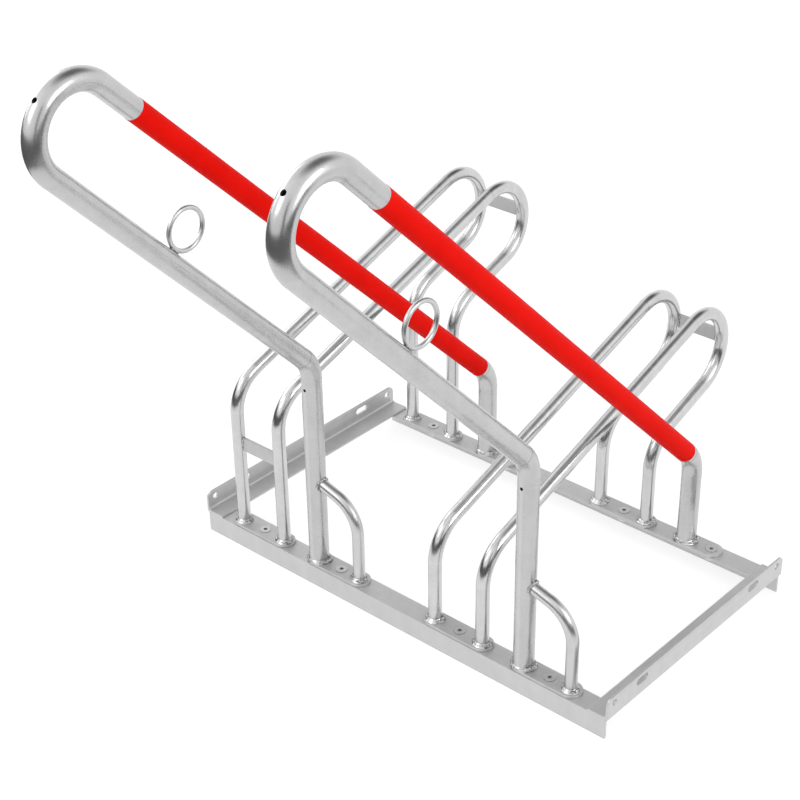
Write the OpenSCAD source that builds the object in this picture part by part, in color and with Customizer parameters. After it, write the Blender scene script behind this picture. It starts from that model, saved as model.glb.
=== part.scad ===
// Bicycle rack for two bicycles, of galvanised steel. An angle-steel base carries two places.
// Each place has a pair of wheel loops and a lean frame with a sleeve, a lock ring and a guide stub.
// The loops of the place at the left stand higher, so that two handlebars pass each other.
// Millimetres. X runs along the base rails, Y to the rear and Z up from the ground. The origin is on
// the ground, in the middle of the whole rack.

/* [Base] */
// Depth of the base over both rails
base_depth = 390; // [340:5:460]
// Leg width of the angle steel
angle_leg = 30; // [26:1:40]
// Wall of the angle steel
angle_wall = 3; // [2:0.5:5]
// Radius in the root of the angle steel
angle_root_r = 4; // [2:0.5:6]
// Radius at the toes of the angle steel
angle_toe_r = 1.5; // [0.5:0.25:2]
// Radius of the upper corners of the cross-angles
cross_corner_r = 9; // [3:1:14]
// From the left end of the rails to the first wheel loop
start_margin = 55; // [48:1:90]
// From the last guide stub to the right end of the rails
end_margin = 63.5; // [50:0.5:100]

/* [Fixing holes in the cross-angles] */
// Height of the fixing holes above the rails
fixing_height = 20; // [17:0.5:22]
// Diameter of the round fixing holes
fixing_hole_d = 9; // [6:0.5:11]
// From the end of a cross-angle to its round hole
fixing_hole_inset = 14; // [10:0.5:24]
// Width of the fixing slots
fixing_slot_w = 10; // [7:0.5:11]
// Length of the fixing slots from end to end
fixing_slot_length = 24; // [16:1:36]
// From the end of a cross-angle to the middle of its slot
fixing_slot_inset = 71; // [50:1:100]

/* [Places] */
// Distance from one place to the next
place_pitch = 350; // [310:5:500]
// Distance between the two wheel loops of a place, between their middles
loop_spacing = 78; // [62:1:100]
// From the right wheel loop to the lean frame
lean_offset = 66.5; // [58:0.5:90]
// From the lean frame to the foot of the guide stub
stub_offset = 73; // [60:1:90]

/* [Wheel loops] */
// Diameter of the wheel loops' tube
loop_tube_d = 18; // [14:1:22]
// Wall of the wheel loops' tube
loop_tube_wall = 2; // [1.5:0.25:3]
// Height of the front bend on the high place
high_bend_height = 246; // [200:2:300]
// Height of the front bend on the low place
low_bend_height = 161; // [130:1:200]
// How much lower the rear bend is than the front bend
loop_rear_drop = 5; // [0:1:15]
// Radius of the bends above the legs, on the tube's middle line
loop_bend_r = 56; // [36:2:64]
// Radius of the U-bend, on the tube's middle line
loop_eye_r = 59; // [46:1:66]
// From the rear rail's outer face back to the middle of the U-bend
loop_eye_reach = 83; // [70:1:110]
// From the front bend up to the middle of the U-bend
loop_eye_rise = 92; // [80:1:110]

/* [Flat bars between the wheel loops] */
// Width of the flat bars
bar_width = 20; // [14:1:25]
// Thickness of the flat bars
bar_thick = 4; // [3:0.5:6]
// Height of the tie bar above the middle of the U-bend
tie_rise = 5; // [0:1:15]
// Height of the high place's front bar above the ground
front_bar_height = 161; // [110:1:180]

/* [Lean frames] */
// Diameter of the lean frames' tube
lean_tube_d = 27; // [22:0.5:30]
// Wall of the lean frames' tube
lean_tube_wall = 2.5; // [1.5:0.25:4]
// Height of the bend above the front leg
lean_front_height = 334.5; // [280:0.5:380]
// Height of the bend above the rear leg
lean_rear_height = 163; // [140:1:190]
// Radius of the bends above the legs, on the tube's middle line
lean_bend_r = 52; // [40:1:70]
// Radius of the U-bend, on the tube's middle line
lean_eye_r = 55; // [46:1:64]
// From the front rail's outer face forward to the middle of the U-bend
lean_eye_reach = 309.5; // [250:0.5:360]
// Height of the middle of the U-bend
lean_eye_height = 753; // [680:1:830]
// Diameter of the vent hole in the U-bend
vent_d = 7; // [4:0.5:10]
// Diameter of the vent and drain holes in the legs
leg_vent_d = 4.5; // [3:0.5:10]
// Height of the vent hole in the front leg
leg_vent_height = 301.5; // [200:0.5:302]
// Height of the drain hole in the rear leg
drain_height = 65; // [50:1:100]

/* [Sleeves] */
// Wall of the sleeve on the lean frame's upper run
sleeve_wall = 0.3; // [0.3:0.1:3]
// Bare tube between the U-bend and the sleeve
sleeve_top_bare = 61; // [30:1:150]
// Bare tube between the sleeve and the rear bend
sleeve_bottom_bare = 1; // [0.5:0.5:60]

/* [Lock rings] */
// Radius of the lock ring, on the bar's middle line
ring_r = 25.5; // [18:0.5:32]
// Diameter of the lock ring's round bar
ring_bar_d = 6; // [5:0.5:10]
// From the corner above the front leg up the lower run to the lock ring
ring_station = 316; // [200:2:420]

/* [Guide stubs] */
// Diameter of the guide stub's tube
stub_tube_d = 16; // [14:1:20]
// Wall of the guide stub's tube
stub_tube_wall = 2; // [1.5:0.25:3]
// Height of the guide stub's corner
stub_height = 139.5; // [110:0.5:200]
// Rise of the guide stub's upper run above the level, in degrees
stub_slope = 16; // [8:1:30]
// Radius of the guide stub's bend, on the tube's middle line
stub_bend_r = 50; // [30:1:54]

/* [Plates and screws] */
// Width of the plates under the feet
plate_width = 30; // [28:1:36]
// Thickness of the plates under the feet
plate_thick = 4; // [3.5:0.5:6]
// From the left wheel loop to the screw of a wheel plate
loop_screw_offset = 41; // [28:1:48]
// From the lean frame to the screw of its plates
lean_screw_offset = 40.5; // [34:0.5:44]
// Diameter of the screws' shank
screw_d = 8; // [5:0.5:8]
// Diameter of the screws' countersunk head
screw_head_d = 16; // [12:0.5:17]
// How far the screws' heads stand above the plates
screw_head_proud = 0.6; // [0.2:0.1:1.5]
// Width across the flats of the screws' sockets
socket_flats = 5; // [3:0.5:6]
// Depth of the screws' sockets
socket_depth = 3; // [1.5:0.25:3.5]
// Clearance round the screws' shank in the plates and rails, on the diameter
screw_play = 1; // [0.4:0.1:2]
// Outer diameter of the washers
washer_d = 16; // [14:0.5:18]
// Thickness of the washers
washer_thick = 1.6; // [1:0.1:2.5]
// Width across the flats of the nuts
nut_flats = 13; // [10:0.5:15]
// Height of the nuts
nut_height = 6.5; // [4:0.5:8]
// Length of thread that shows below the nuts
thread_end = 1.5; // [0.5:0.25:4]
// Chamfer at the ends of the threads
thread_chamfer = 0.8; // [0.3:0.1:1]
// Leg of the weld beads round the feet
weld_leg = 4; // [2:0.5:6]

/* [Hidden] */

$fn = 64;
steel = [0.78, 0.78, 0.78];
zinc = [0.70, 0.71, 0.72];
red = [0.91, 0.10, 0.07];
// The two places, which count from the left
HIGH = 0;
LOW = 1;
// Gap that the weld bridges between two pieces, and play of a seated head or nut
weld_gap = 0.1;
seat_play = 0.1;
// Overrun of every cut
cut = 1;
// Swell of a bend on each side as a share of the tube's diameter, and its lap over the straight pieces
// in degrees
bend_swell_share = 0.0075;
lap_turn = 0.1;
// Sides of a nut and of a socket
hex_sides = 6;
// Clear space between a washer and the root of the rail
washer_clearance = 1;

// Rails and rows of feet
rail_top = angle_leg;
foot_inset = angle_wall + angle_root_r + washer_clearance + washer_d / 2;
front_row = foot_inset;
rear_row = base_depth - foot_inset;
plate_top = rail_top + plate_thick;
foot_base = plate_top;
place_width = loop_spacing + lean_offset + stub_offset;
rail_length = start_margin + place_pitch + place_width + end_margin;

// Reaches of the lean frames to the front and of the loops to the rear, from the front rail's face
front_reach = lean_eye_reach + lean_eye_r + lean_tube_d / 2;
rear_reach = base_depth + loop_eye_reach + loop_eye_r + loop_tube_d / 2;
base_left = -rail_length / 2;
base_front = (front_reach - rear_reach) / 2;

// Places along X, from the rails' left end
function loop_x(place, side) = start_margin + place * place_pitch + side * loop_spacing;
function lean_x(place) = loop_x(place, 1) + lean_offset;
function stub_x(place) = lean_x(place) + stub_offset;
function bend_height(place) = place == HIGH ? high_bend_height : low_bend_height;

// Points in the plane of a hairpin: depth from the front rail's outer face, height above the ground
function loop_front(place) = [front_row, bend_height(place)];
function loop_rear(place) = [rear_row, bend_height(place) - loop_rear_drop];
function loop_eye(place) = [base_depth + loop_eye_reach, bend_height(place) + loop_eye_rise];
lean_front = [front_row, lean_front_height];
lean_rear = [rear_row, lean_rear_height];
lean_eye = [-lean_eye_reach, lean_eye_height];

// Unit vector at an angle in degrees
function unit(angle) = [cos(angle), sin(angle)];
// Angle and length of the line from a corner that touches a circle, with the circle on its right or left
function centre_angle(corner, eye) = atan2(eye.y - corner.y, eye.x - corner.x);
function touch_angle(corner, eye, r, side) = centre_angle(corner, eye) + side * asin(r / norm(eye - corner));
function touch_length(corner, eye, r) = sqrt(pow(norm(eye - corner), 2) - pow(r, 2));
// Length that a bend takes from each of its two straight runs
function bend_setback(angle, bend_r) = bend_r * tan(abs(angle - 90) / 2);

// Angles of the lean frame's two runs, and of the upper run's length and setback
lower_angle = touch_angle(lean_front, lean_eye, lean_eye_r, 1);
upper_angle = touch_angle(lean_rear, lean_eye, lean_eye_r, -1);
upper_length = touch_length(lean_rear, lean_eye, lean_eye_r);
upper_setback = bend_setback(upper_angle, lean_bend_r);

// Places a drawing made in X and Y into the plane of depth and height, or of length and height
module in_depth_plane() rotate([90, 0, 90]) children();
module in_length_plane() rotate([90, 0, 0]) children();
// Moves from the rails' left end and front face to the middle of the rack
module in_rack() translate([base_left, base_front, 0]) children();

// A tube is a chain of pieces drawn in X and Y. Each piece starts at the origin and runs along +Y,
// and its children start where it ends.
module tube_section(d, wall) {
    difference() {
        circle(d = d);
        circle(d = d - 2 * wall);
    }
}
module straight(length, d, wall) {
    rotate([-90, 0, 0]) linear_extrude(length) tube_section(d, wall);
    translate([0, length, 0]) children();
}
// A bend to the left, or turned over to the right where the turn is negative. The tube swells a hair
// in the bend, so that the bend laps over the ends of the straight pieces.
module bend(turn, bend_r, d, wall) {
    turned_over = turn < 0 ? 180 : 0;
    swell = d * bend_swell_share;
    rotate([0, turned_over, 0]) translate([-bend_r, 0, 0]) {
        rotate([0, 0, -lap_turn]) rotate_extrude(angle = abs(turn) + 2 * lap_turn)
            translate([bend_r, 0]) tube_section(d + 2 * swell, wall + 2 * swell);
        rotate([0, 0, abs(turn)]) translate([bend_r, 0, 0]) rotate([0, turned_over, 0]) children();
    }
}

// A leg from its foot at the origin up to a corner, and the straight run that leaves the corner
module leg_and_run(height, angle, run_length, bend_r, d, wall) {
    setback = bend_setback(angle, bend_r);
    straight(height - setback, d, wall) bend(angle - 90, bend_r, d, wall)
        straight(run_length - setback, d, wall) children();
}

// A hairpin of tube in one plane: a leg and its run, a U-bend, and the other run and leg. Its children
// stand at the second foot and look down.
module hairpin(front, rear, eye, eye_r, bend_r, d, wall) {
    front_angle = touch_angle(front, eye, eye_r, 1);
    rear_angle = touch_angle(rear, eye, eye_r, -1);
    rear_setback = bend_setback(rear_angle, bend_r);
    translate([front.x, foot_base, 0])
        leg_and_run(front.y - foot_base, front_angle, touch_length(front, eye, eye_r), bend_r, d, wall)
            bend(rear_angle - front_angle - 180, eye_r, d, wall)
                straight(touch_length(rear, eye, eye_r) - rear_setback, d, wall)
                    bend(90 - rear_angle, bend_r, d, wall)
                        straight(rear.y - rear_setback - foot_base, d, wall) children();
}

// Weld bead round the foot of a tube along +Y, cut off at the edge of the plate, which lies along Z
module foot_weld(d, wall, plate_start, plate_end) {
    inner_r = (d - wall) / 2;
    intersection() {
        rotate([-90, 0, 0]) rotate_extrude()
            polygon([[inner_r, 0], [d / 2 + weld_leg, 0], [inner_r, weld_leg + wall / 2]]);
        rotate([0, -90, -90]) linear_extrude(weld_leg + wall) plate_outline(plate_start, plate_end);
    }
}

// Angle steel along X with its corner at the origin: flat leg to +Y below, upright leg at -Y
module angle_section() {
    difference() {
        union() {
            translate([angle_wall, 0]) square([angle_leg - angle_wall - angle_toe_r, angle_wall]);
            translate([angle_wall, 0]) square([angle_leg - angle_wall, angle_wall - angle_toe_r]);
            translate([angle_leg - angle_toe_r, angle_wall - angle_toe_r]) circle(r = angle_toe_r);
            square([angle_wall, angle_leg - angle_toe_r]);
            square([angle_wall - angle_toe_r, angle_leg]);
            translate([angle_wall - angle_toe_r, angle_leg - angle_toe_r]) circle(r = angle_toe_r);
            translate([angle_wall, angle_wall]) square(angle_root_r);
        }
        translate([angle_wall + angle_root_r, angle_wall + angle_root_r]) circle(r = angle_root_r);
    }
}
module angle_bar(length) rotate([90, 0, 90]) linear_extrude(length) angle_section();

// Holes for the screws through the plates and the rail below them
module row_of_screw_places(row) {
    for (place = [HIGH, LOW]) {
        translate([loop_x(place, 0) + loop_screw_offset, row, 0]) children();
        translate([lean_x(place) + lean_screw_offset, row, 0]) children();
    }
}
module each_screw_place() {
    row_of_screw_places(front_row) children();
    row_of_screw_places(rear_row) children();
}
module screw_hole(bottom, top) {
    translate([0, 0, bottom - cut]) cylinder(h = top - bottom + 2 * cut, d = screw_d + screw_play);
}

// A rail is angle steel turned over: flat leg on top, upright leg down at the outer face
module rail_profile() translate([0, 0, rail_top]) mirror([0, 0, 1]) angle_bar(rail_length);
module front_rail() {
    color(steel) in_rack() difference() {
        rail_profile();
        row_of_screw_places(front_row) screw_hole(rail_top - angle_wall, rail_top);
    }
}
module rear_rail() {
    color(steel) in_rack() difference() {
        translate([0, base_depth, 0]) mirror([0, 1, 0]) rail_profile();
        row_of_screw_places(rear_row) screw_hole(rail_top - angle_wall, rail_top);
    }
}

// What is cut from an upright leg: a round hole, a slot and the corner, near the end at depth zero
module fixing_cuts() {
    slot_run = fixing_slot_length - fixing_slot_w;
    translate([0, 0, -cut]) {
        linear_extrude(angle_wall + 2 * cut) {
            translate([fixing_hole_inset, fixing_height]) circle(d = fixing_hole_d);
            for (end = [-1, 1])
                translate([fixing_slot_inset + end * slot_run / 2, fixing_height]) circle(d = fixing_slot_w);
            translate([fixing_slot_inset, fixing_height]) square([slot_run, fixing_slot_w], center = true);
            difference() {
                translate([-cut, angle_leg - cross_corner_r]) square(cross_corner_r + cut);
                translate([cross_corner_r, angle_leg - cross_corner_r]) circle(r = cross_corner_r);
            }
        }
    }
}
// The cross-angle lies on the rails with its upright leg just outside their ends
module cross_angle() {
    translate([-angle_wall, 0, rail_top]) difference() {
        translate([0, base_depth, 0]) rotate([0, 0, -90]) angle_bar(base_depth);
        in_depth_plane() fixing_cuts();
        translate([0, base_depth, 0]) mirror([0, 1, 0]) in_depth_plane() fixing_cuts();
    }
}
module left_cross_angle() color(steel) in_rack() cross_angle();
module right_cross_angle() {
    color(steel) in_rack() translate([rail_length, 0, 0]) mirror([1, 0, 0]) cross_angle();
}

// Plates with round ends, which lie on a rail; starts and ends are the middles of the round ends
module plate_outline(start, end) {
    translate([start, 0]) circle(d = plate_width);
    translate([end, 0]) circle(d = plate_width);
    translate([start, -plate_width / 2]) square([end - start, plate_width]);
}
module plate(start, end, row, screw) {
    color(zinc) in_rack() difference() {
        translate([0, row, rail_top]) linear_extrude(plate_thick) plate_outline(start, end);
        translate([screw, row, 0]) screw_hole(rail_top, plate_top);
        translate([screw, row, 0]) head_cone(seat_play, cut);
    }
}
module loop_plate(place, row) {
    plate(loop_x(place, 0), loop_x(place, 1), row, loop_x(place, 0) + loop_screw_offset);
}
module front_lean_plate(place) {
    plate(lean_x(place), stub_x(place), front_row, lean_x(place) + lean_screw_offset);
}
module rear_lean_plate(place) {
    plate(lean_x(place), lean_x(place) + lean_screw_offset, rear_row, lean_x(place) + lean_screw_offset);
}

// A screw's countersunk head, or the seat for it, which is wider by the play all round
module head_cone(play, above) {
    head_r = screw_head_d / 2 + play;
    cone_height = (screw_head_d - screw_d) / 2;
    translate([0, 0, plate_top - cone_height]) cylinder(h = cone_height, r1 = head_r - cone_height, r2 = head_r);
    translate([0, 0, plate_top]) cylinder(h = above, r = head_r);
}
module screw() {
    shank_bottom = rail_top - angle_wall - washer_thick - nut_height - thread_end;
    head_top = plate_top + screw_head_proud;
    difference() {
        union() {
            head_cone(0, screw_head_proud);
            translate([0, 0, shank_bottom + thread_chamfer])
                cylinder(h = plate_top - shank_bottom - thread_chamfer, d = screw_d);
            translate([0, 0, shank_bottom])
                cylinder(h = thread_chamfer, d1 = screw_d - 2 * thread_chamfer, d2 = screw_d);
        }
        translate([0, 0, head_top - socket_depth])
            cylinder(h = socket_depth + cut, d = socket_flats / cos(180 / hex_sides), $fn = hex_sides);
    }
}
module washer() {
    translate([0, 0, rail_top - angle_wall - washer_thick]) difference() {
        cylinder(h = washer_thick, d = washer_d);
        translate([0, 0, -cut]) cylinder(h = washer_thick + 2 * cut, d = screw_d + 2 * seat_play);
    }
}
module nut() {
    translate([0, 0, rail_top - angle_wall - washer_thick - nut_height]) difference() {
        cylinder(h = nut_height, d = nut_flats / cos(180 / hex_sides), $fn = hex_sides);
        translate([0, 0, -cut]) cylinder(h = nut_height + 2 * cut, d = screw_d + 2 * seat_play);
    }
}
module plate_screws() color(zinc) in_rack() each_screw_place() screw();
module plate_washers() color(zinc) in_rack() each_screw_place() washer();
module plate_nuts() color(zinc) in_rack() each_screw_place() nut();

// Wheel loops; side 0 is the left one of the pair and side 1 the right one
module loop_foot_weld(side) {
    foot_weld(loop_tube_d, loop_tube_wall, -side * loop_spacing, (1 - side) * loop_spacing);
}
module wheel_loop(place, side) {
    color(zinc) in_rack() translate([loop_x(place, side), 0, 0]) in_depth_plane() {
        hairpin(loop_front(place), loop_rear(place), loop_eye(place), loop_eye_r,
            loop_bend_r, loop_tube_d, loop_tube_wall) rotate([0, 0, 180]) loop_foot_weld(side);
        translate([front_row, foot_base, 0]) loop_foot_weld(side);
    }
}

// A flat bar on edge between the two loops of a place
module loop_bar(place, depth, height) {
    start = loop_x(place, 0) + loop_tube_d / 2 + weld_gap;
    end = loop_x(place, 1) - loop_tube_d / 2 - weld_gap;
    color(zinc) in_rack() translate([start, depth - bar_thick / 2, height - bar_width / 2])
        cube([end - start, bar_thick, bar_width]);
}
module tie_bar(place) {
    eye = loop_eye(place);
    loop_bar(place, eye.x + sqrt(pow(loop_eye_r, 2) - pow(tie_rise, 2)), eye.y + tie_rise);
}
module front_bar(place) loop_bar(place, front_row, front_bar_height);

// Vent and drain holes, through the near wall of the lean frame's tube
module lean_vents(drain_side) {
    hole_depth = lean_tube_d / 2 + cut;
    in_depth_plane() translate([lean_eye.x, lean_eye.y, 0]) rotate([0, 90, (lower_angle + upper_angle) / 2])
        translate([0, 0, lean_eye_r]) cylinder(h = hole_depth, d = vent_d);
    translate([0, front_row, leg_vent_height]) rotate([90, 0, 0]) cylinder(h = hole_depth, d = leg_vent_d);
    translate([0, rear_row, drain_height]) rotate([0, drain_side * 90, 0])
        cylinder(h = hole_depth, d = leg_vent_d);
}
module lean_foot_weld(plate_end) foot_weld(lean_tube_d, lean_tube_wall, 0, plate_end);
module lean_frame(place, drain_side) {
    color(steel) in_rack() translate([lean_x(place), 0, 0]) difference() {
        in_depth_plane() {
            hairpin(lean_front, lean_rear, lean_eye, lean_eye_r, lean_bend_r, lean_tube_d, lean_tube_wall)
                rotate([0, 0, 180]) lean_foot_weld(lean_screw_offset);
            translate([front_row, foot_base, 0]) lean_foot_weld(stub_offset);
        }
        lean_vents(drain_side);
    }
}

// Sleeve on the straight upper run of the lean frame
module lean_sleeve(place) {
    start = upper_setback + sleeve_bottom_bare;
    length = upper_length - sleeve_top_bare - start;
    inner_d = lean_tube_d + 2 * seat_play;
    color(red) in_rack() translate([lean_x(place), 0, 0]) in_depth_plane()
        translate([lean_rear.x, lean_rear.y, 0]) rotate([0, 0, upper_angle - 90]) translate([0, start, 0])
            straight(length, inner_d + 2 * sleeve_wall, sleeve_wall);
}

// Ring of round bar that stands on the lower run of the lean frame, inside the hairpin
module lock_ring(place) {
    stand_off = lean_tube_d / 2 + weld_gap + ring_bar_d / 2 + ring_r;
    middle = lean_front + ring_station * unit(lower_angle) + stand_off * unit(lower_angle - 90);
    color(zinc) in_rack() translate([lean_x(place), middle.x, middle.y]) rotate([0, 90, 0])
        rotate_extrude() translate([ring_r, 0]) circle(d = ring_bar_d);
}

// Bent stub beside the lean frame, cut to fit round the lean frame's front leg
module guide_stub(place) {
    color(zinc) in_rack() translate([lean_x(place), front_row, 0]) difference() {
        in_length_plane() translate([stub_offset, foot_base, 0]) {
            leg_and_run(stub_height - foot_base, 180 - stub_slope, stub_offset / cos(stub_slope), stub_bend_r,
                stub_tube_d, stub_tube_wall);
            rotate([0, 90, 0]) foot_weld(stub_tube_d, stub_tube_wall, -stub_offset, 0);
        }
        translate([0, 0, foot_base]) cylinder(h = lean_front_height, d = lean_tube_d + 2 * weld_gap);
    }
}

front_rail();
rear_rail();
left_cross_angle();
right_cross_angle();
wheel_loop(HIGH, 0);  // high_left_loop
wheel_loop(HIGH, 1);  // high_right_loop
tie_bar(HIGH);  // high_tie_bar
front_bar(HIGH);  // high_front_bar
lean_frame(HIGH, 1);  // high_lean_frame
lean_sleeve(HIGH);  // high_lean_sleeve
lock_ring(HIGH);  // high_lock_ring
guide_stub(HIGH);  // high_guide_stub
loop_plate(HIGH, front_row);  // high_front_loop_plate
loop_plate(HIGH, rear_row);  // high_rear_loop_plate
front_lean_plate(HIGH);  // high_front_lean_plate
rear_lean_plate(HIGH);  // high_rear_lean_plate
wheel_loop(LOW, 0);  // low_left_loop
wheel_loop(LOW, 1);  // low_right_loop
tie_bar(LOW);  // low_tie_bar
lean_frame(LOW, -1);  // low_lean_frame
lean_sleeve(LOW);  // low_lean_sleeve
lock_ring(LOW);  // low_lock_ring
guide_stub(LOW);  // low_guide_stub
loop_plate(LOW, front_row);  // low_front_loop_plate
loop_plate(LOW, rear_row);  // low_rear_loop_plate
front_lean_plate(LOW);  // low_front_lean_plate
rear_lean_plate(LOW);  // low_rear_lean_plate
plate_screws();
plate_washers();
plate_nuts();
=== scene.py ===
import math
import random

import bmesh
import bpy
from mathutils import Matrix, Vector, noise


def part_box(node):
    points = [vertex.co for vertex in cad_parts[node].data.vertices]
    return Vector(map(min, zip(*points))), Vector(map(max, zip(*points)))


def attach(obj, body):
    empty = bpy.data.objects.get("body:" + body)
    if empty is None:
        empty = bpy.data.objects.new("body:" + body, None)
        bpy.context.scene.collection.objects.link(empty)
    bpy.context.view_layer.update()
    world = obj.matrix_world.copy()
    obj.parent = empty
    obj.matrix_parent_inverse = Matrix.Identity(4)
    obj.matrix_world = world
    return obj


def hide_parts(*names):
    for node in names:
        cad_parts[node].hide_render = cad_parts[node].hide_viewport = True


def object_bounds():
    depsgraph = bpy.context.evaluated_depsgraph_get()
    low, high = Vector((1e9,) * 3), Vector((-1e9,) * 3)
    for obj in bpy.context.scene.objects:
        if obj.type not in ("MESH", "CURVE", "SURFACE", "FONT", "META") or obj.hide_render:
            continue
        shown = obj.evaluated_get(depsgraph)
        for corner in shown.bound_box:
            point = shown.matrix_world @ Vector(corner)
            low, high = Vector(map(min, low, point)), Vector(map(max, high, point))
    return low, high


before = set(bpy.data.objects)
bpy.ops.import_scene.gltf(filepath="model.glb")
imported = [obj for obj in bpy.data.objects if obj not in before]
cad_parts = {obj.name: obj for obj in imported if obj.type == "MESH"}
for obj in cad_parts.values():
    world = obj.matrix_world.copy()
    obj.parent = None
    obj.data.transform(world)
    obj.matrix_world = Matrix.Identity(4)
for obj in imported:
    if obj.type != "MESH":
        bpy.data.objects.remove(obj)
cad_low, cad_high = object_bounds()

# Units, directions and the rack's two places
MM = 0.001
X_WAY = Vector((1, 0, 0))
Y_WAY = Vector((0, 1, 0))
Z_WAY = Vector((0, 0, 1))
PLACES = ("high", "low")

# The photograph's camera: where it stands, how it is turned in degrees, its lens, shift and range
CAMERA_PLACE = Vector((1.2925, -1.4969, 1.4842))
CAMERA_AZIMUTH = 42.506
CAMERA_ELEVATION = 32.302
CAMERA_ROLL = -1.259
CAMERA_LENS = 82.76
CAMERA_SHIFT = (0.01875, 0.0625)
CAMERA_RANGE = (0.05, 60.0)

# Sizes that the solids' boxes don't tell
LOOP_TUBE_R = 9 * MM
LEAN_TUBE_R = 13.5 * MM
STUB_TUBE_R = 8 * MM
STUB_SLOPE = math.radians(16)
STUB_HEIGHT = 139.5 * MM
LOWER_RUN_ANGLE = math.radians(133.83)
UPPER_RUN_ANGLE = math.radians(135.707)
RING_R = 25.5 * MM
RING_BAR_R = 3 * MM
BAR_HALF_THICK = 2 * MM
BAR_HALF_WIDTH = 10 * MM

# Each kind of weld bead: its thickness, and how far it stands out of its corner
FOOT_BEAD_R = 2.7 * MM
FOOT_BEAD_OUT = 0.9 * MM
STUB_BEAD_R = 2.2 * MM
STUB_BEAD_OUT = 0.6 * MM
RING_BEAD_R = 1.9 * MM
RING_BEAD_OUT = 1.0 * MM
BAR_BEAD_R = 1.7 * MM
LAP_BEAD_R = 1.8 * MM
LAP_BEAD_OUT = 0.8 * MM

# The ring's beads lie this far to each side and are this long, the bars' ones take up this share of the
# width, and the laps' ones end this far from the corners
RING_BEAD_ASIDE = 1.6 * MM
RING_BEAD_LENGTH = 14 * MM
BAR_BEAD_SHARE = 0.75
LAP_BEAD_END = 3 * MM

# A foot's bead, as shares of its thickness: the least, and what is added towards the plate's ends
FOOT_LEAST = 0.55
FOOT_SWELL = 0.7

# A bead's make: the step between its rings, their sides, and the fewest of them; how an open one tapers
BEAD_STEP = 0.8 * MM
BEAD_SIDES = 12
BEAD_FEWEST = 4
TAPER_RINGS = 3
TAPER_FROM = 0.35

# The lines that beads follow: the parts of a straight one, and the points of a round one
LINE_PARTS = 6
CIRCLE_POINTS = 48

# A bead's lumps, as shares of its thickness: the mean, the ripples, and the slow and the quick noise
BEAD_MEAN = 0.86
BEAD_RIPPLE = 2.6 * MM
RIPPLE_SHARE = 0.12
SLOW_SCALE = 160
SLOW_SHARE = 0.70
QUICK_SCALE = 620
QUICK_SHARE = 0.36

# The beads' chance: the seed, how far the noise is moved, and a side that no bead runs along
BEAD_SEED = 7
CHANCE_REACH = 50
FIRST_SIDE = Vector((0.31, 0.52, 0.79))

# The red sleeve: its outer radius, its play on the tube, how far it sits up the run, its rolled ends and
# its faint folds
SLEEVE_R = 13.9 * MM
SLEEVE_PLAY = 0.05 * MM
SLEEVE_UP = 5.5 * MM
SLEEVE_LIP = 1.2 * MM
SLEEVE_EDGE = 0.1 * MM
SLEEVE_BULGE = 0.05 * MM
SLEEVE_SIDES = 64
SLEEVE_STEP = 3 * MM
SLEEVE_FOLD = 0.08 * MM
SLEEVE_FOLD_SCALE = 45

# The middle part of a noise, which is spread out, the samples that a shader node takes, and how much more
# blue than red a grey has
MIDDLE = (0.3, 0.7)
NODE_SAMPLES = 4
GREY_BLUE = 1.005

# Painted shade in crevices, where flux and dirt also stay: how far it reaches, how open a place is where
# it starts and ends, and its darkest shade
SHADE_AND_DIRT_REACH = 3.5 * MM
SHADE_AND_DIRT_RANGE = (0.2, 0.72)
SHADE_AND_DIRT_DARKEST = 0.5

# Zinc's patterns: cloudy patches, marks that run down, crystals, worn edges, scuffs, waves and grain
CLOUD_SCALE = 26.0
CLOUD_RANGE = (0.34, 0.66)
CLOUD_SHARE = 0.6
RUN_STRETCH = (90.0, 90.0, 9.0)
RUN_RANGE = (0.35, 0.65)
RUN_SHARE = 0.4
CRYSTAL_SCALE = 210.0
EDGE_RANGE = (0.52, 0.62)
EDGE_SHARE = 0.5
EDGE_LIGHTER = 1.2
SCUFF_SCALE = 70.0
WAVE_SCALE = 75.0
LONG_WAVE_SCALE = 34.0
GRAIN_SCALE = 1500.0

# The sleeve's red plastic: its reds, roughness, mirror and skin
RED_DEEP = (0.71, 0.005, 0.002, 1.0)
RED_BRIGHT = (0.79, 0.007, 0.003, 1.0)
RED_WORN = (0.74, 0.02, 0.012, 1.0)
RED_WORN_RANGE = (0.66, 0.8)
RED_WORN_SHARES = (0.0, 0.25)
RED_ROUGH = (0.42, 0.55)
RED_MIRROR = 0.02
RED_CLOUD_SCALE = 18.0
RED_SCUFF_SCALE = 320.0
RED_SCUFF_SHARE = 0.05
RED_WAVE_SCALE = 60.0
RED_RIPPLE = 0.15 * MM

# Weld metal under zinc: its greys, roughness, lumps, and pits with painted shade in them
WELD_GREYS = (0.36, 0.72)
WELD_METALLIC = 0.85
WELD_ROUGH = (0.28, 0.5)
WELD_RIPPLE = 0.5 * MM
LUMP_SCALE = 330.0
LUMP_RANGE = (0.35, 0.65)
PIT_SCALE = 420.0
PIT_RANGE = (0.34, 0.46)
PIT_PAINTED_SHADE = 0.10
PIT_SHARE = 0.5

# The floor: half its width, its glow and paint where it is seen, and its paint for light that is spread
FLOOR_HALF = 9.0
FLOOR_GLOW = 0.77
FLOOR_SHOWN = 0.30
FLOOR_PLAIN = 0.8

# The studio's light, and its dark part: which way that lies, how its edge fades and its light
STUDIO_LIGHT = 1.08
DARK_WAY = (0.0, 0.5, 0.866)
DARK_FADE = (0.80, 0.97)
DARK_LIGHT = 0.12

# The dark cards: from and to in degrees round the rack, how far the lower and the upper edge are from its
# middle, and the height
LOW_CARD = {"span": (-88, 105), "lower": 1.2, "upper": 1.9, "height": 0.7}
TALL_CARD = {"span": (36, 48), "lower": 1.95, "upper": 1.95, "height": 2.0}
CARD_LIGHT = 0.10
CARD_STEPS = 24

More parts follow.
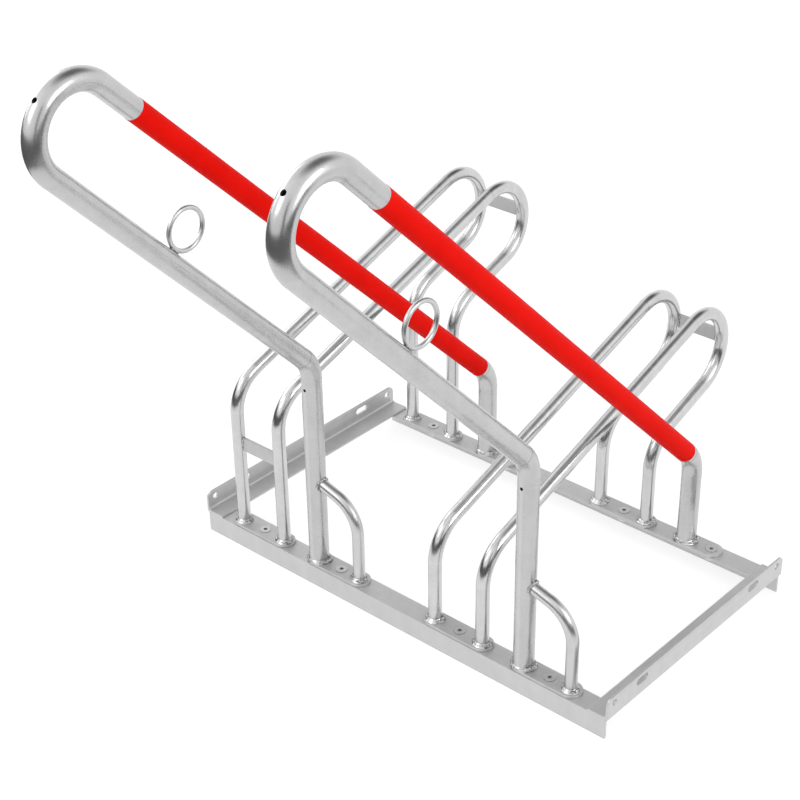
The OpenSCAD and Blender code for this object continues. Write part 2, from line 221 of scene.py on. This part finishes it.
# The soft lamps: the name, place, size and power of each, and what they all look at
LAMPS = (
    ("left", (-2.35, -0.1, 1.45), (1.8, 1.4), 12.5),
    ("front", (-0.8, -1.95, 2.0), (1.3, 1.0), 7.5),
    ("right", (2.1, 0.2, 1.5), (1.1, 1.1), 11.0),
)
LAMP_TARGET = Vector((0, 0, 0.35))


# Materials

def set_input(tree, socket, value):
    """Gives a socket a value or another node's output."""
    if isinstance(value, bpy.types.NodeSocket):
        tree.links.new(value, socket)
    else:
        socket.default_value = value


def add_node(tree, kind, inputs=None, **settings):
    """Adds a node to a tree; an input is a value or another node's output."""
    made = tree.nodes.new(kind)
    for name, value in settings.items():
        setattr(made, name, value)
    for name, value in (inputs or {}).items():
        set_input(tree, made.inputs[name], value)
    return made


def spread(tree, value, source, target=(0.0, 1.0)):
    """Maps a value's range onto another one, and holds it there."""
    inputs = {
        "Value": value, "From Min": source[0], "From Max": source[1],
        "To Min": target[0], "To Max": target[1],
    }
    return add_node(tree, "ShaderNodeMapRange", inputs).outputs["Result"]


def blend_colours(tree, factor, first, second, how="MIX"):
    """Mixes two colours by a factor."""
    # The node takes its two colours at sockets 6 and 7, and gives the mixed one at 2
    inputs = {0: factor, 6: first, 7: second}
    return add_node(tree, "ShaderNodeMix", inputs, data_type="RGBA", blend_type=how).outputs[2]


def maths(tree, how, first, second):
    """One value worked out from two."""
    return add_node(tree, "ShaderNodeMath", {0: first, 1: second}, operation=how).outputs[0]


def share_of(tree, value, share):
    """A value times a share."""
    return maths(tree, "MULTIPLY", value, share)


def stretched(tree, coords, scale):
    """Coordinates stretched by a scale on each axis."""
    return add_node(tree, "ShaderNodeMapping", {"Vector": coords, "Scale": scale}).outputs["Vector"]


def noise_of(tree, coords, scale, detail=2.0, rough=0.5):
    """The value of a noise."""
    inputs = {"Vector": coords, "Scale": scale, "Detail": detail, "Roughness": rough}
    return add_node(tree, "ShaderNodeTexNoise", inputs).outputs["Fac"]


def press_in(tree, shader, height, depth, soft_edge=0.0):
    """Presses a pattern of heights into a shader's skin, on edges that look rounded if asked."""
    inputs = {"Height": height, "Strength": 1.0, "Distance": depth}
    if soft_edge:
        rounded = add_node(tree, "ShaderNodeBevel", {"Radius": soft_edge}, samples=NODE_SAMPLES)
        inputs["Normal"] = rounded.outputs["Normal"]
    bump = add_node(tree, "ShaderNodeBump", inputs)
    set_input(tree, shader.inputs["Normal"], bump.outputs["Normal"])


def new_material(name):
    """A material with its tree, its shader and object coordinates."""
    material = bpy.data.materials.new(name)
    material.use_nodes = True
    tree = material.node_tree
    coords = add_node(tree, "ShaderNodeTexCoord").outputs["Object"]
    return material, tree, tree.nodes["Principled BSDF"], coords


def grey(value):
    """An opaque grey, a touch cool as zinc is."""
    return (value, value, value * GREY_BLUE, 1.0)


def crevice_shade_and_dirt(tree):
    """1 on open metal, and less in crevices: painted shade from occlusion, where flux and dirt also stay.
    """
    inputs = {"Distance": SHADE_AND_DIRT_REACH}
    nearby = add_node(tree, "ShaderNodeAmbientOcclusion", inputs, samples=NODE_SAMPLES)
    return spread(tree, nearby.outputs["AO"], SHADE_AND_DIRT_RANGE, (SHADE_AND_DIRT_DARKEST, 1.0))


def shaded(tree, colour, factor):
    """A colour made darker by a factor."""
    inputs = {"Red": factor, "Green": factor, "Blue": factor}
    shade = add_node(tree, "ShaderNodeCombineColor", inputs).outputs["Color"]
    return blend_colours(tree, 1.0, colour, shade, "MULTIPLY")


def zinc_coat(name, bright, dull, metallic, rough, ripple, spangle, grain, soft_edge=0.0,
              wave_scale=WAVE_SCALE):
    """Galvanised steel: patches, run marks, crystals, bright edges, painted shade and dirt in crevices,
    and a wavy skin.
    """
    material, tree, shader, coords = new_material(name)
    clouds = spread(tree, noise_of(tree, coords, CLOUD_SCALE, detail=4.0, rough=0.6), CLOUD_RANGE)
    downward = stretched(tree, coords, RUN_STRETCH)
    runs = spread(tree, noise_of(tree, downward, 1.0, detail=3.0), RUN_RANGE)
    patch = maths(tree, "ADD", share_of(tree, clouds, CLOUD_SHARE), share_of(tree, runs, RUN_SHARE))
    colour = blend_colours(tree, patch, grey(dull), grey(bright))

    cells = add_node(tree, "ShaderNodeTexVoronoi", {"Vector": coords, "Scale": CRYSTAL_SCALE})
    split = add_node(tree, "ShaderNodeSeparateColor", {"Color": cells.outputs["Color"]})
    crystal = spread(tree, split.outputs["Red"], (0.0, 1.0), (1.0 - spangle, 1.0))
    colour = shaded(tree, colour, crystal)

    edge = spread(tree, add_node(tree, "ShaderNodeNewGeometry").outputs["Pointiness"], EDGE_RANGE)
    polished = grey(min(1.0, bright * EDGE_LIGHTER))
    colour = blend_colours(tree, share_of(tree, edge, EDGE_SHARE), colour, polished)
    # Crevices get painted shade from occlusion, where flux and dirt also stay
    colour = shaded(tree, colour, crevice_shade_and_dirt(tree))
    set_input(tree, shader.inputs["Base Color"], colour)

    scuffs = noise_of(tree, coords, SCUFF_SCALE, detail=3.0)
    set_input(tree, shader.inputs["Roughness"], spread(tree, scuffs, MIDDLE, rough))
    shader.inputs["Metallic"].default_value = metallic

    waves = noise_of(tree, coords, wave_scale, detail=1.0)
    grains = noise_of(tree, coords, GRAIN_SCALE)
    height = maths(tree, "ADD", waves, share_of(tree, grains, grain))
    press_in(tree, shader, height, ripple, soft_edge)
    return material


def red_sleeve():
    """Smooth red plastic with soft patches, scuffs and a slightly wavy skin."""
    material, tree, shader, coords = new_material("sleeve_red")
    clouds = spread(tree, noise_of(tree, coords, RED_CLOUD_SCALE, detail=3.0), MIDDLE)
    colour = blend_colours(tree, clouds, RED_DEEP, RED_BRIGHT)
    scuffs = noise_of(tree, coords, RED_SCUFF_SCALE, detail=5.0, rough=0.7)
    worn = spread(tree, scuffs, RED_WORN_RANGE, RED_WORN_SHARES)
    colour = blend_colours(tree, worn, colour, RED_WORN)
    set_input(tree, shader.inputs["Base Color"], colour)
    set_input(tree, shader.inputs["Roughness"], spread(tree, scuffs, MIDDLE, RED_ROUGH))
    shader.inputs["Specular IOR Level"].default_value = RED_MIRROR
    waves = noise_of(tree, coords, RED_WAVE_SCALE, detail=1.0)
    height = maths(tree, "ADD", waves, share_of(tree, scuffs, RED_SCUFF_SHARE))
    press_in(tree, shader, height, RED_RIPPLE)
    return material


def weld_metal():
    """Zinc over weld metal: bright crests, and dark pits with painted shade."""
    material, tree, shader, coords = new_material("weld_zinc")
    lumps = noise_of(tree, coords, LUMP_SCALE, detail=4.0, rough=0.6)
    pits = spread(tree, noise_of(tree, coords, PIT_SCALE), PIT_RANGE)
    dark, bright = WELD_GREYS
    colour = blend_colours(tree, spread(tree, lumps, LUMP_RANGE), grey(dark), grey(bright))
    # The pits, pressed in below, get painted shade
    colour = blend_colours(tree, pits, grey(PIT_PAINTED_SHADE), colour)
    # Crevices get painted shade from occlusion, where flux and dirt also stay
    colour = shaded(tree, colour, crevice_shade_and_dirt(tree))
    set_input(tree, shader.inputs["Base Color"], colour)
    set_input(tree, shader.inputs["Roughness"], spread(tree, lumps, MIDDLE, WELD_ROUGH))
    shader.inputs["Metallic"].default_value = WELD_METALLIC
    height = maths(tree, "ADD", lumps, share_of(tree, pits, PIT_SHARE))
    press_in(tree, shader, height, WELD_RIPPLE)
    return material


BASE_ZINC = zinc_coat(
    "base_zinc", bright=0.56, dull=0.48, metallic=0.65, rough=(0.38, 0.47), ripple=0.10 * MM,
    spangle=0.04, grain=0.06, soft_edge=0.8 * MM,
)
LOOP_ZINC = zinc_coat(
    "loop_zinc", bright=0.65, dull=0.56, metallic=1.0, rough=(0.17, 0.26), ripple=0.20 * MM,
    spangle=0.03, grain=0.04,
)
STUB_ZINC = zinc_coat(
    "stub_zinc", bright=0.64, dull=0.57, metallic=1.0, rough=(0.27, 0.35), ripple=0.14 * MM,
    spangle=0.02, grain=0.0,
)
LEAN_ZINC = zinc_coat(
    "lean_zinc", bright=0.56, dull=0.50, metallic=0.95, rough=(0.24, 0.29), ripple=1.0 * MM,
    spangle=0.015, grain=0.0, wave_scale=LONG_WAVE_SCALE,
)
BAR_ZINC = zinc_coat(
    "bar_zinc", bright=0.51, dull=0.44, metallic=0.85, rough=(0.38, 0.46), ripple=0.10 * MM,
    spangle=0.03, grain=0.06, soft_edge=0.6 * MM,
)
SCREW_ZINC = zinc_coat(
    "screw_zinc", bright=0.56, dull=0.48, metallic=0.95, rough=(0.24, 0.34), ripple=0.05 * MM,
    spangle=0.02, grain=0.02,
)
SLEEVE_RED = red_sleeve()
WELD_ZINC = weld_metal()

# Which finish each node has, by the end of its name
FINISHES = {
    "rail": BASE_ZINC, "cross_angle": BASE_ZINC, "plate": BASE_ZINC, "loop": LOOP_ZINC,
    "bar": BAR_ZINC, "lock_ring": STUB_ZINC, "guide_stub": STUB_ZINC, "lean_frame": LEAN_ZINC,
    "lean_sleeve": SLEEVE_RED, "plate_screws": SCREW_ZINC, "plate_washers": SCREW_ZINC,
    "plate_nuts": SCREW_ZINC,
}


def dress_node(name, node):
    """Gives a node its finish."""
    finish = next(material for end, material in FINISHES.items() if name.endswith(end))
    node.data.materials.clear()
    node.data.materials.append(finish)


for node_name, node_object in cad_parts.items():
    dress_node(node_name, node_object)


# Meshes and pieces

def mesh_from(name, made):
    """A mesh from a bmesh, which is freed."""
    mesh = bpy.data.meshes.new(name)
    made.to_mesh(mesh)
    made.free()
    return mesh


def new_object(name, data):
    """An object in the scene."""
    made = bpy.data.objects.new(name, data)
    bpy.context.scene.collection.objects.link(made)
    return made


def skin_rings(made, rings, closed):
    """Faces between the rings of a tube, which runs back into itself or has two flat ends."""
    count, sides = len(rings), len(rings[0])
    for k in range(count if closed else count - 1):
        here, there = rings[k], rings[(k + 1) % count]
        # A closed tube may have turned on its way, so its last ring looks for its match
        shift = 0
        if k == count - 1:
            shift = min(range(sides), key=lambda s: (there[s].co - here[0].co).length)
        for n in range(sides):
            m = (n + 1) % sides
            a, b = there[(n + shift) % sides], there[(m + shift) % sides]
            made.faces.new((here[n], here[m], b, a))
    if not closed:
        made.faces.new(list(reversed(rings[0])))
        made.faces.new(rings[-1])
    bmesh.ops.recalc_face_normals(made, faces=made.faces)


def smooth_piece(name, made, material):
    """A smooth piece that rides on the rack and takes its finish from a slot."""
    mesh = mesh_from(name, made)
    mesh.shade_smooth()
    mesh.materials.append(material)
    piece = new_object(name, mesh)
    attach(piece, "root")
    return piece


# Weld beads

def even_steps(points, closed, step):
    """Points at even steps along a line."""
    line = points + points[:1] if closed else points
    lengths = [(b - a).length for a, b in zip(line, line[1:])]
    count = max(BEAD_FEWEST, round(sum(lengths) / step))
    out, part, passed = [], 0, 0.0
    for k in range(count if closed else count + 1):
        wanted = sum(lengths) * k / count
        while part < len(lengths) - 1 and passed + lengths[part] < wanted:
            passed += lengths[part]
            part += 1
        share = (wanted - passed) / lengths[part] if lengths[part] else 0.0
        out.append(line[part].lerp(line[part + 1], min(1.0, share)))
    return out


def lumpy(place, along, radius, chance):
    """The radius of a bead at a place: ripples that lap over each other, and slow and quick lumps."""
    ripple = abs(math.sin(math.pi * along / BEAD_RIPPLE))
    slow = noise.noise(place * SLOW_SCALE + chance)
    quick = noise.noise(place * QUICK_SCALE + chance)
    return radius * (BEAD_MEAN + RIPPLE_SHARE * ripple + SLOW_SHARE * slow + QUICK_SHARE * quick)


def weld_bead(name, points, radius, closed=True, swell=None):
    """A weld bead along a line of points, thicker and thinner as a hand-made one is."""
    draw = random.Random(f"{BEAD_SEED} {name}")
    chance = Vector([draw.uniform(-CHANCE_REACH, CHANCE_REACH) for _ in range(3)])
    steps = even_steps(points, closed, BEAD_STEP)
    count = len(steps)
    made = bmesh.new()
    rings = []
    side = FIRST_SIDE.normalized()
    for k, point in enumerate(steps):
        before = steps[k - 1] if closed or k else point
        after = steps[(k + 1) % count] if closed or k < count - 1 else point
        ahead = (after - before).normalized()
        side = (side - ahead * side.dot(ahead)).normalized()
        other = ahead.cross(side)
        from_end = min(k, count - 1 - k) / TAPER_RINGS
        taper = 1.0 if closed or from_end >= 1 else TAPER_FROM + (1 - TAPER_FROM) * from_end
        taper *= swell(point) if swell else 1.0
        ring = []
        for n in range(BEAD_SIDES):
            turn = 2 * math.pi * n / BEAD_SIDES
            out = side * math.cos(turn) + other * math.sin(turn)
            reach = taper * lumpy(point + out * radius, k * BEAD_STEP, radius, chance)
            ring.append(made.verts.new(point + out * reach))
        rings.append(ring)
    skin_rings(made, rings, closed)
    smooth_piece(name, made, WELD_ZINC)


def circle_points(centre, radius, across, up):
    """Points of a circle in the plane of two directions."""
    turns = [2 * math.pi * k / CIRCLE_POINTS for k in range(CIRCLE_POINTS)]
    return [centre + (across * math.cos(t) + up * math.sin(t)) * radius for t in turns]


def line_points(start, way):
    """Even points from a start along a way."""
    return [start + way * k / LINE_PARTS for k in range(LINE_PARTS + 1)]


def plate_ends(node):
    """The two ends of a plate where tubes stand, on its top."""
    low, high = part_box(node)
    half = (high.y - low.y) / 2
    row = (low.y + high.y) / 2
    return Vector((low.x + half, row, high.z)), Vector((high.x - half, row, high.z))


def foot_bead(name, foot, tube_r):
    """The bead round a tube's foot, which is thickest towards the ends of the plate."""
    rim = tube_r + FOOT_BEAD_OUT

    def swell(point):
        return FOOT_LEAST + FOOT_SWELL * (abs(point.x - foot.x) / rim) ** 2

    points = circle_points(foot + Z_WAY * FOOT_BEAD_OUT, rim, X_WAY, Y_WAY)
    weld_bead(name, points, FOOT_BEAD_R, swell=swell)


def stub_bead(place, lean_foot, stub_foot):
    """The bead round the stub's upper end, which lies on the lean frame's leg."""
    reach = stub_foot.x - lean_foot.x
    axis = Vector((-math.cos(STUB_SLOPE), 0, math.sin(STUB_SLOPE)))
    up = Vector((math.sin(STUB_SLOPE), 0, math.cos(STUB_SLOPE)))
    meeting = Vector((lean_foot.x, lean_foot.y, STUB_HEIGHT + reach * math.tan(STUB_SLOPE)))
    points = []
    for point in circle_points(meeting, STUB_TUBE_R + STUB_BEAD_OUT, Y_WAY, up):
        depth = point.y - lean_foot.y
        wall = math.sqrt(LEAN_TUBE_R ** 2 - depth ** 2)
        step = (point.x - lean_foot.x - wall) / -axis.x
        points.append(point + axis * step)
    weld_bead(f"{place}_guide_stub_weld", points, STUB_BEAD_R)


def ring_bead(place):
    """The beads between the lock ring and the lean frame's lower run, one on each side."""
    low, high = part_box(f"{place}_lock_ring")
    run = Vector((0, math.cos(LOWER_RUN_ANGLE), math.sin(LOWER_RUN_ANGLE)))
    away = Vector((0, math.sin(LOWER_RUN_ANGLE), -math.cos(LOWER_RUN_ANGLE)))
    touch = (low + high) / 2 - away * (RING_R + RING_BAR_R - RING_BEAD_OUT)
    for side, way in (("left", -1), ("right", 1)):
        start = touch + X_WAY * way * RING_BEAD_ASIDE - run * RING_BEAD_LENGTH / 2
        points = line_points(start, run * RING_BEAD_LENGTH)
        weld_bead(f"{place}_lock_ring_{side}_weld", points, RING_BEAD_R, closed=False)


def bar_beads(node):
    """Beads round both ends of a flat bar between two loops."""
    low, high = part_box(node)
    middle = (low + high) / 2
    reach = BAR_HALF_WIDTH * BAR_BEAD_SHARE
    for side, x in (("left", low.x), ("right", high.x)):
        corners = [
            Vector((x, middle.y + across * BAR_HALF_THICK, middle.z + up * reach))
            for across, up in ((-1, -1), (1, -1), (1, 1), (-1, 1))
        ]
        weld_bead(f"{node}_{side}_weld", corners, BAR_BEAD_R)


def lap_bead(rail, cross):
    """The bead under a cross-angle's flat leg, along the rail's inner edge."""
    rail_low, rail_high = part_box(rail)
    cross_low, cross_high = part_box(cross)
    inner = rail_high.y + LAP_BEAD_OUT if rail_low.y < 0 else rail_low.y - LAP_BEAD_OUT
    start = max(rail_low.x, cross_low.x) + LAP_BEAD_END
    end = min(rail_high.x, cross_high.x) - LAP_BEAD_END
    points = line_points(Vector((start, inner, cross_low.z - LAP_BEAD_OUT)), X_WAY * (end - start))
    weld_bead(f"{rail}_{cross}_weld", points, LAP_BEAD_R, closed=False)


# The red sleeves

def sleeve_stations(half):
    """Where the sleeve's rings lie along it, and their radii: round both ends and along the outside."""
    inner_r = LEAN_TUBE_R + SLEEVE_PLAY
    end = [
        (SLEEVE_EDGE, inner_r), (0.0, inner_r + SLEEVE_EDGE),
        (0.0, SLEEVE_R + SLEEVE_BULGE), (SLEEVE_LIP, SLEEVE_R),
    ]
    rows = round(2 * half / SLEEVE_STEP)
    between = 2 * (half - SLEEVE_LIP)
    lower = [(-half + inward, radius) for inward, radius in end]
    upper = [(half - inward, radius) for inward, radius in reversed(end)]
    middle_r = SLEEVE_R - SLEEVE_BULGE
    middle = [(-half + SLEEVE_LIP + between * k / rows, middle_r) for k in range(1, rows)]
    return lower + middle + upper


def sleeve_skin(node):
    """The red sleeve, shrunk on the upper run: rolled ends and faint folds round the tube."""
    low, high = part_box(node)
    along = Vector((0, math.cos(UPPER_RUN_ANGLE), math.sin(UPPER_RUN_ANGLE)))
    over = Vector((0, -math.sin(UPPER_RUN_ANGLE), math.cos(UPPER_RUN_ANGLE)))
    half = ((high.z - low.z) - 2 * SLEEVE_R * abs(along.y)) / along.z / 2
    centre = (low + high) / 2 + along * SLEEVE_UP
    made = bmesh.new()
    rings = []
    for station, radius in sleeve_stations(half):
        outside = radius > SLEEVE_R - 2 * SLEEVE_BULGE
        ring = []
        for k in range(SLEEVE_SIDES):
            turn = 2 * math.pi * k / SLEEVE_SIDES
            out = X_WAY * math.cos(turn) + over * math.sin(turn)
            place = centre + along * station + out * radius
            fold = SLEEVE_FOLD * noise.noise(place * SLEEVE_FOLD_SCALE) if outside else 0.0
            ring.append(made.verts.new(place + out * min(0.0, fold)))
        rings.append(ring)
    skin_rings(made, rings, closed=True)
    skin = smooth_piece(f"{node}_skin", made, SLEEVE_RED)
    # The photograph shows next to no red on the zinc
    skin.visible_diffuse = skin.visible_glossy = False
    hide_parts(node)


for place_name in PLACES:
    for row_name in ("front", "rear"):
        left, right = plate_ends(f"{place_name}_{row_name}_loop_plate")
        foot_bead(f"{place_name}_left_loop_{row_name}_weld", left, LOOP_TUBE_R)
        foot_bead(f"{place_name}_right_loop_{row_name}_weld", right, LOOP_TUBE_R)
        lean_end, far_end = plate_ends(f"{place_name}_{row_name}_lean_plate")
        foot_bead(f"{place_name}_lean_frame_{row_name}_weld", lean_end, LEAN_TUBE_R)
        if row_name == "front":
            foot_bead(f"{place_name}_guide_stub_foot_weld", far_end, STUB_TUBE_R)
            stub_bead(place_name, lean_end, far_end)
    ring_bead(place_name)
    bar_beads(f"{place_name}_tie_bar")
    sleeve_skin(f"{place_name}_lean_sleeve")
bar_beads("high_front_bar")
for rail_name in ("front_rail", "rear_rail"):
    for cross_name in ("left_cross_angle", "right_cross_angle"):
        lap_bead(rail_name, cross_name)


# Floor, light and camera

def bare_material(name):
    """A material with an empty tree, and its output's surface."""
    material = bpy.data.materials.new(name)
    material.use_nodes = True
    tree = material.node_tree
    tree.nodes.clear()
    return material, tree, add_node(tree, "ShaderNodeOutputMaterial").inputs["Surface"]


def seen_directly(tree):
    """1 where the camera, a reflection or a see-through body looks, and 0 for light that is spread."""
    path = add_node(tree, "ShaderNodeLightPath").outputs
    seen = maths(tree, "MAXIMUM", path["Is Camera Ray"], path["Is Glossy Ray"])
    return maths(tree, "MAXIMUM", seen, path["Is Transmission Ray"])


def floor_material():
    """Pale floor that shows white with a soft shadow, and lights the rack as a plain pale one."""
    material, tree, surface = bare_material("floor_white")
    plain = add_node(tree, "ShaderNodeBsdfDiffuse", {"Color": grey(FLOOR_PLAIN)}).outputs[0]
    pale = add_node(tree, "ShaderNodeBsdfDiffuse", {"Color": grey(FLOOR_SHOWN)}).outputs[0]
    light = {"Color": (1, 1, 1, 1), "Strength": FLOOR_GLOW}
    glow = add_node(tree, "ShaderNodeEmission", light).outputs[0]
    shown = add_node(tree, "ShaderNodeAddShader", {0: pale, 1: glow}).outputs[0]
    mix = add_node(tree, "ShaderNodeMixShader", {0: seen_directly(tree), 1: plain, 2: shown})
    set_input(tree, surface, mix.outputs[0])
    return material


def make_floor():
    """A wide flat floor under the rack."""
    mesh = bpy.data.meshes.new("floor")
    half, level = FLOOR_HALF, cad_low.z
    corners = [(-half, -half, level), (half, -half, level), (half, half, level), (-half, half, level)]
    mesh.from_pydata(corners, [], [(0, 1, 2, 3)])
    mesh.materials.append(floor_material())
    floor = new_object("floor", mesh)


def make_world():
    """A pale studio, dark above and behind the rack."""
    world = bpy.data.worlds.new("studio")
    bpy.context.scene.world = world
    world.use_nodes = True
    tree = world.node_tree
    way = add_node(tree, "ShaderNodeTexCoord").outputs["Generated"]
    towards = add_node(tree, "ShaderNodeVectorMath", {0: way, 1: DARK_WAY}, operation="DOT_PRODUCT")
    darkness = spread(tree, towards.outputs["Value"], DARK_FADE)
    colour = blend_colours(tree, darkness, grey(STUDIO_LIGHT), grey(DARK_LIGHT))
    set_input(tree, tree.nodes["Background"].inputs["Color"], colour)
    tree.nodes["Background"].inputs["Strength"].default_value = 1.0


def card_material():
    """The dark cards' even black."""
    material, tree, surface = bare_material("card_black")
    dark = add_node(tree, "ShaderNodeEmission", {"Color": grey(CARD_LIGHT)}).outputs[0]
    set_input(tree, surface, dark)
    return material


def dark_card(name, black, span, lower, upper, height):
    """A curved dark card in front of the rack, which only shows as the dark bands on bright metal."""
    first, last = (math.radians(degrees) for degrees in span)
    made = bmesh.new()
    columns = []
    for k in range(CARD_STEPS + 1):
        turn = first + (last - first) * k / CARD_STEPS
        way = Vector((math.sin(turn), -math.cos(turn), 0))
        columns.append((made.verts.new(way * lower), made.verts.new(way * upper + Z_WAY * height)))
    for (a, b), (c, d) in zip(columns, columns[1:]):
        made.faces.new((a, c, d, b))
    mesh = mesh_from(name, made)
    mesh.materials.append(black)
    card = new_object(name, mesh)
    card.visible_camera = card.visible_diffuse = card.visible_shadow = card.visible_transmission = False


def soft_box(name, place, size, power):
    """A large soft lamp that looks at the rack."""
    lamp = bpy.data.lights.new(name, "AREA")
    lamp.shape = "RECTANGLE"
    lamp.size, lamp.size_y = size
    lamp.energy = power
    made = new_object(name, lamp)
    made.location = place
    made.rotation_mode = "QUATERNION"
    made.rotation_quaternion = (LAMP_TARGET - Vector(place)).to_track_quat("-Z", "Y")


def make_camera():
    """The photograph's camera."""
    azimuth, elevation = math.radians(CAMERA_AZIMUTH), math.radians(CAMERA_ELEVATION)
    flat = math.cos(elevation)
    back = Vector((math.sin(azimuth) * flat, -math.cos(azimuth) * flat, math.sin(elevation)))
    across = Z_WAY.cross(back).normalized()
    up = back.cross(across)
    roll = Matrix.Rotation(math.radians(CAMERA_ROLL), 3, "Z")
    turned = Matrix((across, up, back)).transposed() @ roll
    data = bpy.data.cameras.new("camera")
    data.lens = CAMERA_LENS
    data.shift_x, data.shift_y = CAMERA_SHIFT
    data.clip_start, data.clip_end = CAMERA_RANGE
    camera = new_object("camera", data)
    camera.matrix_world = Matrix.Translation(CAMERA_PLACE) @ turned.to_4x4()
    bpy.context.scene.camera = camera


make_floor()
make_world()
card_black = card_material()
dark_card("low_card", card_black, **LOW_CARD)
dark_card("tall_card", card_black, **TALL_CARD)
for lamp_settings in LAMPS:
    soft_box(*lamp_settings)
make_camera()

scene = bpy.context.scene
scene.view_settings.view_transform = "Standard"
